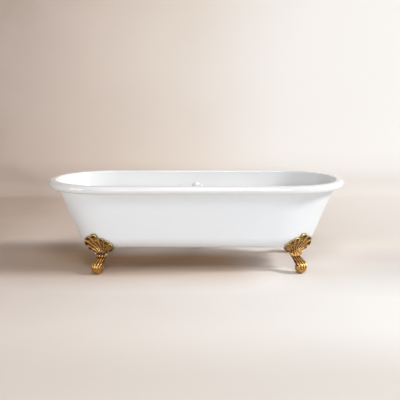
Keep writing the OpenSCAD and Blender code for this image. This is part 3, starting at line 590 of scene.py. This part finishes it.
# Points of a row, as shares of the fan's spread: across its front, then across its rear the other way
front_count = 136
even = np.linspace(0, 1, front_count)
spread = 0.65 * (2 * even - 1) - 0.35 * np.cos(pi * even)
share_round = np.concatenate([spread, spread[::-1]])
is_front = np.concatenate([np.ones(front_count), np.zeros(front_count)])
way_round = np.where(is_front > 0, share_round * pi / 2, pi - share_round * pi / 2)
lobe = np.minimum(np.floor((share_round + 1) / 2 * fan_lobes + 1e-6), fan_lobes - 1)
lobe_middle = (2 * lobe + 1) / fan_lobes - 1
in_lobe = np.clip(np.abs(share_round - lobe_middle) * fan_lobes, 0, 1)


def fan_rows(turn, b):
    """Rows of the fan without its carving, b from 0 at its root to 1 at its edge."""
    b = b[:, None]
    a = share_round[None, :]
    swept, drooped = 1 - fan_sweep * np.sqrt(np.maximum(lobe_middle, 0)), 1 - fan_droop * lobe_middle ** 2
    reach_middle = fan_reach * np.where(lobe_middle > 0, swept, drooped)
    edge = reach_middle * (0.9 + 0.1 * np.sqrt(np.maximum(0, 1 - in_lobe ** 2)))
    reach = fan_root + (edge[None, :] - fan_root) * b
    ray = fan_spread * a - fan_tilt
    s, across = reach * np.cos(ray), reach * np.sin(ray)
    curl = fan_curl * (np.minimum(across, 0) / 0.1) ** 2
    back_up = table(s, (0, 26), (20, 32), (40, 42), (160, 160))
    back_off = table(s, (0, 43), (20, 21), (40, 2), (160, 2)) + curl / 2
    front_up = table(s, (0, 58), (25, 64), (50, 76), (75, 95), (100, 119), (150, 150), (160, 160))
    front_off = fan_gap + table(s, (0, 62), (25, 38), (50, 20), (75, 13), (160, 10)) + curl
    front = is_front[None, :] * np.maximum(0, 1 - a * a) ** 0.2
    thin = np.sqrt(np.maximum(0.12, 1 - np.maximum(0, (b - 0.93) / 0.07) ** 2))
    off = back_off + (front_off - back_off) * front * thin
    return corner_points(turn + across / fan_bend_radius, back_up + (front_up - back_up) * front, off)


def ring_rows(turn, stations):
    """Oval rows of the leg or ball: distance out, height, half thickness and half width."""
    out = stations[:, 0:1] + stations[:, 2:3] * np.cos(way_round)[None, :]
    across = stations[:, 3:4] * np.sin(way_round)[None, :]
    x = foot_axis_x + out * cos(turn) - across * sin(turn)
    y = out * sin(turn) + across * cos(turn)
    return np.stack([x, y, np.broadcast_to(stations[:, 1:2], x.shape)], -1)


def flowing(points, steps):
    """A smooth row of values through the given ones, so many steps from each to the next."""
    points = np.asarray(points, float)
    padded = np.concatenate([[2 * points[0] - points[1]], points, [2 * points[-1] - points[-2]]])
    out = []
    for k in range(1, len(padded) - 2):
        p0, p1, p2, p3 = padded[k - 1:k + 3]
        for t in np.arange(steps) / steps:
            out.append(0.5 * (2 * p1 + (p2 - p0) * t + (2 * p0 - 5 * p1 + 4 * p2 - p3) * t * t
                              + (3 * p1 - p0 - 3 * p2 + p3) * t ** 3))
    out.append(points[-1])
    return np.array(out)


ball_low = -acos(pad_recess_radius / ball_radius)
ball_high = radians(28)
ball_rows = 56
leg_steps = 13
rises = np.linspace(ball_low, ball_high, ball_rows)
ball_stations = np.stack([np.full(ball_rows, ball_x), ball_height + ball_radius * np.sin(rises),
                          ball_radius * np.cos(rises), ball_radius * np.cos(rises)], 1)
# The leg's rows as shares of its kick out, of its height, and twice of the ankle's width
leg_shares = [(0.8, 0.4, 0.53, 0.55), (0.56, 0.56, 0.47, 0.5), (0.26, 0.72, 0.42, 0.47),
              (0.05, 0.86, 0.42, 0.47), (0.0, 1.0, 0.45, 0.52)]
leg_points = [[ankle_x + ball_kick * s[0], ball_height + (ankle_height - ball_height) * s[1],
               s[2] * ankle_width, s[3] * ankle_width] for s in leg_shares]
leg_stations = flowing([ball_stations[-1]] + leg_points, leg_steps)[1:]

talon_ways = np.radians([-56, -28, 0, 28, 56, 180])
talon_height = 0.0016
talon_growth = 0.0030
valley_depth = 0.0022
valley_full_z = 0.094
valley_top_z = 0.104
knuckle_height = 0.0012
knuckle_places = ((0.062, 0.006), (0.082, 0.005))
nail_depth = 0.0010
cuff_height = 0.0008
cuff_half = 0.0035
cuff_drop = 0.001
groove_depth = 0.0026
groove_half = 0.003
groove_drop = 0.009


def leg_carving(z, rise):
    """Height of the talons and the cuff over the plain ball and leg, at a height and a rise on the ball."""
    gap = np.abs((way_round[None, :] - talon_ways[:, None] + pi) % (2 * pi) - pi).min(0)
    width = radians(4) + radians(10) * smooth_step(rise, radians(-6), radians(24))
    ridge = np.exp(-(gap / width) ** 2)
    tip = smooth_step(rise, radians(-8), radians(-1))
    height = talon_height + talon_growth * smooth_step(rise, radians(0), radians(30))
    knuckle = sum(knuckle_height * np.exp(-((z - middle) / half) ** 2) for middle, half in knuckle_places)
    nail = nail_depth * np.exp(-((rise - radians(14)) / radians(3)) ** 2)
    below_cuff = smooth_step(-z, -valley_top_z, -valley_full_z)
    valley = valley_depth * smooth_step(rise, radians(16), radians(40)) * below_cuff
    cuff = cuff_height * np.exp(-((z - ankle_height + cuff_drop) / cuff_half) ** 2)
    groove = groove_depth * np.exp(-((z - ankle_height + groove_drop) / groove_half) ** 2)
    return (height + knuckle - nail) * ridge * tip - valley * (1 - ridge) + cuff - groove


lobe_depth = 0.0058
rib_height = 0.0030
crease_depth = 0.0018
brim_height = 0.0020
step_depth = 0.0014
vein_height = 0.0022


def fan_carving(b):
    """Height of the lobes' hollows, the ribs between them and their raised edge, over the plain fan."""
    # Each form has its place and half width as shares. Across a lobe, p is 0 at its middle and 1 at its side.
    b = b[:, None]
    p = in_lobe[None, :]
    grow = smooth_step(b, -0.30, 0.05)
    hollow = np.exp(-(p / 0.52) ** 2) * (0.35 + 0.65 * np.exp(-((b - 0.70) / 0.17) ** 2)) * grow
    rib = np.exp(-((1 - p) / 0.30) ** 2) * grow * (1 - smooth_step(b, 0.86, 0.97))
    crease = np.exp(-((p - 0.62) / 0.10) ** 2) * grow * (1 - smooth_step(b, 0.74, 0.9))
    brim = np.exp(-((b - 0.915) / 0.045) ** 2)
    bow = 0.10 * np.sqrt(1 - p * p)
    step = smooth_step(b, 0.40 + bow, 0.44 + bow)
    vein = np.exp(-(p / 0.12) ** 2) * np.exp(-((b - 0.62) / 0.18) ** 2)
    carved = (rib_height * rib - lobe_depth * hollow - crease_depth * crease + brim_height * brim
              - step_depth * step * (1 - smooth_step(b, 0.7, 0.85)) + vein_height * vein)
    rounded = smooth_step(1 - np.abs(share_round), 0.0, 0.05)[None, :]
    return carved * is_front[None, :] * rounded


def grid_normals(rows):
    """Outward directions at the points of closed rows."""
    along = np.gradient(rows, axis=0)
    around = np.roll(rows, -1, axis=1) - np.roll(rows, 1, axis=1)
    normal = np.cross(around, along)
    return normal / np.maximum(np.linalg.norm(normal, axis=-1, keepdims=True), 1e-9)


fan_rows_count = 112
neck_rows = 14
recess_z = 0.004


def foot_body(turn):
    """Points, faces and rim shares of one foot's ball, leg and fan in the back right quarter."""
    ball, leg = ring_rows(turn, ball_stations), ring_rows(turn, leg_stations)
    levels = np.linspace(0, 1, fan_rows_count) ** 0.9
    fan = fan_rows(turn, levels)
    first, last = leg[-1], fan[0]
    length = np.linalg.norm(last - first, axis=-1, keepdims=True)
    leave = leg[-1] - leg[-4]
    leave = leave / np.linalg.norm(leave, axis=-1, keepdims=True) * length
    arrive = fan[1] - fan[0]
    arrive = arrive / np.maximum(np.linalg.norm(arrive, axis=-1, keepdims=True), 1e-9) * length
    t = (np.arange(1, neck_rows + 1) / (neck_rows + 1))[:, None, None]
    neck = ((2 * t ** 3 - 3 * t ** 2 + 1) * first + (t ** 3 - 2 * t ** 2 + t) * leave
            + (3 * t ** 2 - 2 * t ** 3) * last + (t ** 3 - t ** 2) * arrive)
    rows = np.concatenate([ball, leg, neck, fan])
    plain = len(ball) + len(leg)
    carving = np.zeros(rows.shape[:2])
    rise = np.concatenate([rises, np.linspace(ball_high, radians(75), len(leg))])[:, None]
    carving[:plain] = leg_carving(rows[:plain, :, 2], rise)
    carving[plain + len(neck):] = fan_carving(levels)
    fade = np.linspace(1, 0, len(neck))[:, None]
    neck_levels = np.linspace(-0.3, 0, len(neck) + 1)[:-1]
    carving[plain:plain + len(neck)] = carving[plain - 1:plain] * fade + fan_carving(neck_levels)
    rows = rows + grid_normals(rows) * carving[..., None]
    recess = ball_stations[:1].copy()
    recess[0, 1] = recess_z
    rows = np.concatenate([ring_rows(turn, recess), rows])
    count, around = rows.shape[:2]
    rim_share = np.zeros((count, around))
    rim_share[count - len(levels):] = smooth_step(levels, 0.84, 0.97)[:, None]
    faces = [(k * around + i, k * around + (i + 1) % around, (k + 1) * around + (i + 1) % around,
              (k + 1) * around + i) for k in range(count - 1) for i in range(around)]
    faces.append(tuple(range(around - 1, -1, -1)))
    top = (count - 1) * around
    for i in range(front_count - 1):
        faces.append((top + i, top + i + 1, top + around - 2 - i, top + around - 1 - i))
    return rows.reshape(-1, 3), faces, rim_share.ravel()


# A fine hollow shows after 4 rounds of smoothing and a broad one after 26. Each counts in full at its depth.
hollow_depths = {4: 0.0004, 26: 0.0030}
# The neck is darker than the rest: oxide in its hollow, and painted shade under the fan, most on the left
# feet's necks, which are on the side away from the lamp. The leg keeps some oxide all over.
neck_z = 0.114
neck_reach = 0.012
leg_top_z = 0.1


def add_hollows(mesh):
    """Stores how deep each point lies in a hollow, with painted shade added at the neck, as
    'patina_and_neck_shade', and how proud it stands, as 'polish'.
    """
    count = len(mesh.vertices)
    co = np.empty(count * 3)
    mesh.vertices.foreach_get("co", co)
    co = co.reshape(-1, 3)
    normal = np.empty(count * 3)
    mesh.vertices.foreach_get("normal", normal)
    normal = normal.reshape(-1, 3)
    pairs = np.empty(len(mesh.edges) * 2, dtype=np.int64)
    mesh.edges.foreach_get("vertices", pairs)
    a, b = pairs.reshape(-1, 2).T
    degree = np.maximum(np.bincount(np.concatenate([a, b]), minlength=count), 1)
    smooth, depth = co.copy(), np.zeros(count)
    for rounds in range(1, max(hollow_depths) + 1):
        smooth = np.stack([np.bincount(a, smooth[b, k], count) + np.bincount(b, smooth[a, k], count)
                           for k in range(3)], 1) / degree[:, None]
        if rounds in hollow_depths:
            depth += ((smooth - co) * normal).sum(1) / hollow_depths[rounds]
    neck = (1.0 + 0.8 * (co[:, 0] < 0)) * np.exp(-((co[:, 2] - neck_z) / neck_reach) ** 2)
    depth += neck + (0.25 + 0.25 * smooth_step(co[:, 2], 0.045, 0.06)) * (co[:, 2] < leg_top_z)
    for name, values in (("patina_and_neck_shade", np.clip(depth, 0, 1)), ("polish", np.clip(-depth, 0, 1))):
        mesh.attributes.new(name, "FLOAT", "POINT").data.foreach_set("value", values.astype(np.float32))


# Antique brass: yellow metal, polished on its high places, with red-brown oxide left in its hollows. At the
# necks part of that darkening is painted shade.
brass, tree, place = new_material("antique_brass")
hollow = add(tree, "ShaderNodeAttribute", attribute_name="patina_and_neck_shade").outputs["Fac"]
proud = add(tree, "ShaderNodeAttribute", attribute_name="polish").outputs["Fac"]
# Blotches of oxide about 9 mm wide, and grain of the casting about 2 mm wide
blotch = add(tree, "ShaderNodeTexNoise", {"Vector": place, "Scale": 110.0, "Detail": 4.0, "Roughness": 0.6})
grit = add(tree, "ShaderNodeTexNoise", {"Vector": place, "Scale": 500.0, "Detail": 3.0, "Roughness": 0.6})
spotty = add(tree, "ShaderNodeMath", {0: blotch, 1: 0.9, 2: -0.36}, operation="MULTIPLY_ADD")
oxide_and_neck_shade = add(tree, "ShaderNodeMath", {0: hollow, 1: 1.25, 2: spotty}, operation="MULTIPLY_ADD", use_clamp=True)
clean = add(tree, "ShaderNodeMath", {0: proud, 1: -0.45, 2: oxide_and_neck_shade}, operation="MULTIPLY_ADD", use_clamp=True)
metal_tone = add(tree, "ShaderNodeValToRGB", {"Fac": clean}, stops=[
    (0.0, "D4AE68"), (0.15, "B6873F"), (0.34, "94642B"), (0.55, "6E3A1D"), (0.8, "4E2518"), (1.0, "3C1E14")])
# The lobes' rims are tinted olive.
lobe_rim = add(tree, "ShaderNodeAttribute", attribute_name="lobe_rim").outputs["Fac"]
olive_share = add(tree, "ShaderNodeMath", {0: lobe_rim, 1: 0.65}, operation="MULTIPLY")
olive_tone = add(tree, "ShaderNodeMix", {
    0: olive_share, 6: metal_tone, 7: colour("8F8148")}, data_type="RGBA")
metal_share = add(tree, "ShaderNodeMapRange", {
    "Value": clean, "From Min": 0.2, "From Max": 0.9, "To Min": 0.95, "To Max": 0.25})
metal_rough = add(tree, "ShaderNodeMapRange", {
    "Value": clean, "From Min": 0.0, "From Max": 0.8, "To Min": 0.32, "To Max": 0.6})
cast_bump = add(tree, "ShaderNodeBump", {"Height": grit, "Strength": 0.25, "Distance": 0.0006})
aged = add(tree, "ShaderNodeBsdfPrincipled", {
    "Base Color": olive_tone.outputs[2], "Metallic": metal_share,
    "Roughness": metal_rough, "Normal": cast_bump})
add(tree, "ShaderNodeOutputMaterial", {"Surface": aged})

tongue_thickness = 0.008
tongue_z = floor_gap - boss_height - tongue_thickness
tongue_width = 0.044
tongue_taper = 0.004
bolt_hole_radius = 0.0065


def tongue_mesh():
    """The flat tongue behind the fan, in the foot's own frame, with the hole for its bolt."""
    work = bmesh.new()
    half, root = tongue_width / 2, tongue_width / 2 - tongue_taper
    outline = [(boss_x + half * cos(t), half * sin(t)) for t in np.linspace(pi / 2, 1.5 * pi, 33)]
    outline = [(ankle_x, root)] + outline + [(ankle_x, -root)]
    low = [work.verts.new((x, y, tongue_z)) for x, y in outline]
    high = [work.verts.new((x, y, tongue_z + tongue_thickness)) for x, y in outline]
    work.faces.new(list(reversed(low)))
    work.faces.new(high)
    for i in range(len(low)):
        j = (i + 1) % len(low)
        work.faces.new((low[i], low[j], high[j], high[i]))
    bmesh.ops.recalc_face_normals(work, faces=work.faces)
    piece = new_piece("tongue", mesh_of(work, "tongue"))
    hole = bmesh.new()
    add_rod(hole, bolt_hole_radius, tongue_z - 0.01, tongue_z + tongue_thickness + 0.01, (boss_x, 0.0, 0.0),
            sides=48)
    cut(piece, mesh_of(hole, "bolt_hole"))
    made = piece.data
    bpy.data.objects.remove(piece)
    return made


tongue = tongue_mesh()
tongue_points = np.array([v.co[:] for v in tongue.vertices])
tongue_faces = [tuple(p.vertices) for p in tongue.polygons]
pearl_radius = 0.009
pearl_out = 0.012
pearl_across = 0.006
pearl_up = 0.010
pearl_places = []
for node, (x_sign, y_sign) in corners.items():
    turn = right_foot_turn if x_sign > 0 else left_foot_turn
    points, faces, rim_share = foot_body(turn)
    x = foot_axis_x + tongue_points[:, 0] * cos(turn) - tongue_points[:, 1] * sin(turn)
    y = tongue_points[:, 0] * sin(turn) + tongue_points[:, 1] * cos(turn)
    faces = faces + [tuple(len(points) + i for i in f) for f in tongue_faces]
    points = np.concatenate([points, np.stack([x, y, tongue_points[:, 2]], 1)])
    points = points * (x_sign, y_sign, 1)
    if x_sign * y_sign < 0:
        faces = [tuple(reversed(f)) for f in faces]
    mesh = bpy.data.meshes.new(node + "_cast")
    mesh.from_pydata(points, [], faces)
    mesh.shade_smooth()
    mesh.set_sharp_from_angle(angle=radians(60))
    add_hollows(mesh)
    rim_share = np.concatenate([rim_share, np.zeros(len(tongue_points))]).astype(np.float32)
    mesh.attributes.new("lobe_rim", "FLOAT", "POINT").data.foreach_set("value", rim_share)
    mesh.materials.append(brass)
    foot = new_piece(node + "_cast", mesh)
    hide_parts(node)
    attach(foot, "tub")
    for side_sign in (-1, 1):
        pearl_x, pearl_y = foot_place(
            x_sign, y_sign, ankle_x + pearl_out, side_sign * (ankle_width / 2 + pearl_across))
        pearl_places.append((pearl_x, pearl_y, ankle_height + pearl_up))

# A pearl is cast on each side of every foot's neck: balls of one size, laid on points.
pearl_tree = bpy.data.node_groups.new("pearls_on_points", "GeometryNodeTree")
pearl_tree.is_modifier = True
pearl_tree.interface.new_socket("Geometry", in_out="INPUT", socket_type="NodeSocketGeometry")
pearl_inputs = {
    name: pearl_tree.interface.new_socket(name, in_out="INPUT", socket_type=kind).identifier
    for name, kind in (("Pearl radius", "NodeSocketFloat"), ("Metal", "NodeSocketMaterial"))}
pearl_tree.interface.new_socket("Geometry", in_out="OUTPUT", socket_type="NodeSocketGeometry")
given = add(pearl_tree, "NodeGroupInput").outputs
ball = add(pearl_tree, "GeometryNodeMeshUVSphere", {
    "Segments": 40, "Rings": 24, "Radius": given["Pearl radius"]})
laid = add(pearl_tree, "GeometryNodeInstanceOnPoints", {"Points": given["Geometry"], "Instance": ball})
real = add(pearl_tree, "GeometryNodeRealizeInstances", {"Geometry": laid})
soft = add(pearl_tree, "GeometryNodeSetShadeSmooth", {0: real})
cast = add(pearl_tree, "GeometryNodeSetMaterial", {"Geometry": soft, "Material": given["Metal"]})
add(pearl_tree, "NodeGroupOutput", {"Geometry": cast})
spots = bpy.data.meshes.new("pearl_spots")
spots.from_pydata(pearl_places, [], [])
pearls = new_piece("foot_pearls", made_by(pearl_tree, {
    pearl_inputs["Pearl radius"]: pearl_radius, pearl_inputs["Metal"]: brass}, spots, "pearl_spots"))
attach(pearls, "tub")


# Foot bolts and washers
# Hexagon-headed steel bolts with flat washers hold each foot's tongue to its cast pad. They are zinc plated,
# which leaves a dull, slightly spangled grey.
def smoothed(node, body, finish):
    """Puts a smooth-shaded copy of a node's own shape in place of the node, in a finish."""
    work = bmesh.new()
    work.from_mesh(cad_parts[node].data)
    bmesh.ops.remove_doubles(work, verts=work.verts, dist=1e-6)
    mesh = mesh_of(work, node + "_part")
    mesh.materials.clear()
    mesh.materials.append(finish)
    mesh.polygons.foreach_set("material_index", np.zeros(len(mesh.polygons), dtype=np.int32))
    mesh.shade_smooth()
    mesh.set_sharp_from_angle(angle=radians(30))
    made = new_piece(node + "_part", mesh)
    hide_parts(node)
    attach(made, body)


# Zinc plate: crystals about 4 mm wide in two greys
zinc, tree, place = new_material("zinc_plate")
crystal = add(tree, "ShaderNodeTexVoronoi", {"Vector": place, "Scale": 250.0})
grey = add(tree, "ShaderNodeValToRGB", {"Fac": crystal.outputs["Color"]}, stops=[
    (0.0, "9FA2A4"), (1.0, "C2C4C4")])
plated = add(tree, "ShaderNodeBsdfPrincipled", {"Base Color": grey, "Metallic": 1.0, "Roughness": 0.38})
add(tree, "ShaderNodeOutputMaterial", {"Surface": plated})
for node in ("foot_bolts", "foot_washers"):
    smoothed(node, "tub", zinc)


# Rubber pads, gaskets and washers
# Black rubber, moulded or stamped from sheet: the pads pressed into the balls, the gaskets and washers that
# the drain, the overflow and the slip nuts squeeze, and the stopper's seal. It is matt, with a fine skin.
rubber, tree, place = new_material("black_rubber")
skin = add(tree, "ShaderNodeTexNoise", {"Vector": place, "Scale": 600.0, "Detail": 3.0})
dusty = add(tree, "ShaderNodeValToRGB", {"Fac": skin}, stops=[(0.35, "161616"), (0.75, "2B2A29")])
skin_rise = add(tree, "ShaderNodeBump", {"Height": skin, "Strength": 0.2, "Distance": 0.0004})
moulded = add(tree, "ShaderNodeBsdfPrincipled", {"Base Color": dusty, "Roughness": 0.72, "Normal": skin_rise})
add(tree, "ShaderNodeOutputMaterial", {"Surface": moulded})
for node in ("foot_pads", "drain_gasket", "drain_washer", "overflow_gasket", "slip_washers"):
    smoothed(node, "tub", rubber)
smoothed("stopper_seal", "stopper_top", rubber)


# Waste and overflow
# Drawn brass tube and cast brass fittings, clamped through the tub's two holes and joined by slip nuts, with
# the stopper's cap and knob. They are polished and then chromed, which shows faint smears.
chrome, tree, place = new_material("polished_chrome")
smear = add(tree, "ShaderNodeTexNoise", {"Vector": place, "Scale": 45.0, "Detail": 4.0, "Roughness": 0.6})
gloss = add(tree, "ShaderNodeMapRange", {
    "Value": smear, "From Min": 0.3, "From Max": 0.7, "To Min": 0.05, "To Max": 0.13})
bright = add(tree, "ShaderNodeValToRGB", {"Fac": smear}, stops=[(0.3, "D9DBDD"), (0.7, "E4E5E6")])
mirror = add(tree, "ShaderNodeBsdfPrincipled", {"Base Color": bright, "Metallic": 1.0, "Roughness": gloss})
add(tree, "ShaderNodeOutputMaterial", {"Surface": mirror})
for node in ("drain_flange", "drain_shoe", "waste_tube", "waste_tee", "tailpiece", "overflow_tube",
             "overflow_elbow", "slip_nuts"):
    smoothed(node, "tub", chrome)
for node in ("stopper_cap", "stopper_knob"):
    smoothed(node, "stopper_top", chrome)
# The overflow's face plate and screws are a satin chrome, which lime from the water has dulled.
satin, tree, place = new_material("satin_chrome")
lime = add(tree, "ShaderNodeTexNoise", {"Vector": place, "Scale": 120.0, "Detail": 4.0, "Roughness": 0.6})
dull = add(tree, "ShaderNodeMapRange", {
    "Value": lime, "From Min": 0.3, "From Max": 0.7, "To Min": 0.26, "To Max": 0.36})
pale = add(tree, "ShaderNodeValToRGB", {"Fac": lime}, stops=[(0.3, "C8CACC"), (0.7, "D2D3D4")])
limed = add(tree, "ShaderNodeBsdfPrincipled", {"Base Color": pale, "Metallic": 0.55, "Roughness": dull})
add(tree, "ShaderNodeOutputMaterial", {"Surface": limed})
for node in ("overflow_plate", "overflow_screws"):
    smoothed(node, "tub", satin)


# Stopper's post and sleeve
# Turned from yellow brass bar and left bare. The post is fixed in the bridge across the drain and the sleeve
# slides on it. The cutting tool leaves fine rings, drawn here 2 mm apart so that they show.
turned, tree, place = new_material("turned_brass")
rings = add(tree, "ShaderNodeTexWave", {
    "Vector": place, "Scale": 160.0, "Distortion": 0.6}, bands_direction="Z")
dulled = add(tree, "ShaderNodeTexNoise", {"Vector": place, "Scale": 90.0, "Detail": 3.0})
yellow = add(tree, "ShaderNodeValToRGB", {"Fac": dulled}, stops=[(0.3, "A98240"), (0.7, "C7A25C")])
ring_bump = add(tree, "ShaderNodeBump", {"Height": rings.outputs["Fac"], "Strength": 0.2, "Distance": 0.0002})
bare = add(tree, "ShaderNodeBsdfPrincipled", {
    "Base Color": yellow, "Metallic": 1.0, "Roughness": 0.24, "Normal": ring_bump})
add(tree, "ShaderNodeOutputMaterial", {"Surface": bare})
smoothed("stopper_post", "tub", turned)
smoothed("stopper_sleeve", "stopper_lift", turned)
